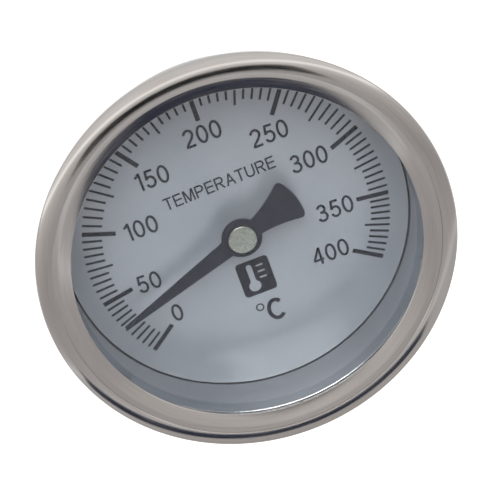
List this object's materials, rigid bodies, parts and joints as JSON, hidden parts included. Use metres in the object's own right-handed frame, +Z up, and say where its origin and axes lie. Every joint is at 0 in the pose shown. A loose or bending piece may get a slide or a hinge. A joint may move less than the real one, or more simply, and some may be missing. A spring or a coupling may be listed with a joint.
{
  "type": "dial thermometer",
  "caption": "Round bimetal dial thermometer in a steel case, with a glazed rolled bezel, a pointer over a Celsius dial, and a threaded rear stem.",
  "frame": {"origin": "centre of the hexagon's rear shoulder face, on the stem's axis: the face that seats round the threaded hole", "axes": "+Y along the stem away from the dial, +Z up towards the top of the dial, the dial faces -Y"},
  "size_m": [0.068, 0.0866, 0.068],
  "materials": {
    "case_steel": "satin drawn stainless",
    "bezel_steel": "circumferentially polished stainless",
    "fitting_steel": "turned stainless",
    "spring_steel": "cold rolled bimetal strip",
    "brass": "turned",
    "rubber": "matt",
    "glass": "clear float glass",
    "dial_enamel": "satin pale grey enamel with printed scale",
    "pointer_black": "matt blue-black",
    "nickel": "satin nickel plate"
  },
  "bodies": {
    "housing": {"process_fitting": "fitting_steel", "stem_tube": "fitting_steel", "stem_tip": "fitting_steel", "case_cup": "case_steel", "case_seal": "rubber", "case_washer": "fitting_steel", "case_nut": "brass", "dial_support": "case_steel", "dial_plate": "dial_enamel", "glass_gasket": "rubber", "glass": "glass", "lens_ring": "bezel_steel", "bezel_ring": "bezel_steel", "front_bearing": "brass", "middle_guide": "brass", "end_bearing": "brass", "helix_anchor": "brass", "bimetal_helix": "spring_steel"},
    "pointer_assembly": {"spindle": "fitting_steel", "helix_collar": "brass", "pointer_hub": "brass", "pointer": "pointer_black", "pointer_cap": "nickel"}
  },
  "joints": [
    {"name": "pointer_turn", "type": "hinge", "parent": "housing", "child": "pointer_assembly", "pos_m": [0, 0, 0], "axis": [0, 1, 0], "range_deg": [-18.1, 233], "stiffness_Nm_per_rad": 0.0005, "deforming": ["bimetal_helix"]}
  ]
}
